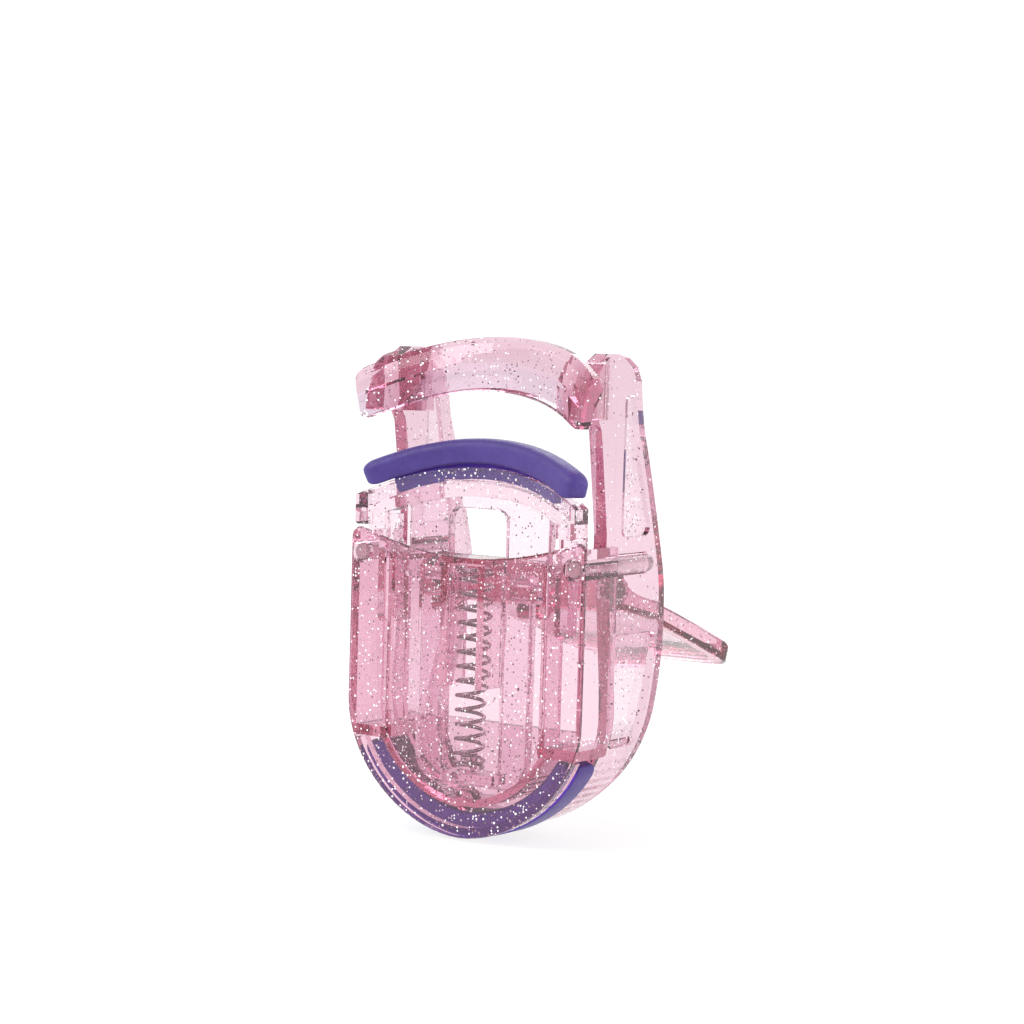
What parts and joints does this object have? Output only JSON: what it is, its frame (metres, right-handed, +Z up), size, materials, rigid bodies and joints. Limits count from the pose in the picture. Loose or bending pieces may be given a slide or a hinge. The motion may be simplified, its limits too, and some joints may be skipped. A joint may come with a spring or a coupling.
{
  "type": "eyelash curler",
  "caption": "Pocket eyelash curler in clear glitter plastic: fixed lash arch, sliding lower jaw with silicone pad, return spring and squeeze lever at the back.",
  "frame": {"origin": "on the flat front panel of the cover, on the centre line, 20 mm above the lowest point", "axes": "+X to the right seen from the front, +Y back towards the lever, +Z up towards the lash arch"},
  "size_m": [0.0376, 0.0499, 0.064],
  "materials": {
    "clear_pink_glitter": "clear moulded plastic with silver glitter, glossy",
    "violet_silicone": "soft matt silicone",
    "spring_steel": "bright drawn wire"
  },
  "bodies": {
    "body": {"frame": "clear_pink_glitter", "front_cover": "clear_pink_glitter", "cover_pin_left": "clear_pink_glitter", "cover_pin_right": "clear_pink_glitter", "bottom_strip": "violet_silicone", "return_spring": "spring_steel"},
    "jaw": {"lower_jaw": "clear_pink_glitter", "jaw_pad": "violet_silicone"},
    "lever": {"lever": "clear_pink_glitter"}
  },
  "joints": [
    {"name": "lever_hinge", "type": "hinge", "parent": "body", "child": "lever", "pos_m": [0, 0.01235, 0.0126], "axis": [-1, 0, 0], "range_deg": [0, 48]},
    {"name": "jaw_slide", "type": "slide", "parent": "body", "child": "jaw", "axis": [0, 0, 1], "range_m": [0, 0.0056], "stiffness_N_per_m": 200, "springref_m": -0.003, "deforming": ["return_spring"]}
  ],
  "couplings": [
    {"joint": "lever_hinge", "follows": "jaw_slide", "rad_per_m": 149.59}
  ]
}
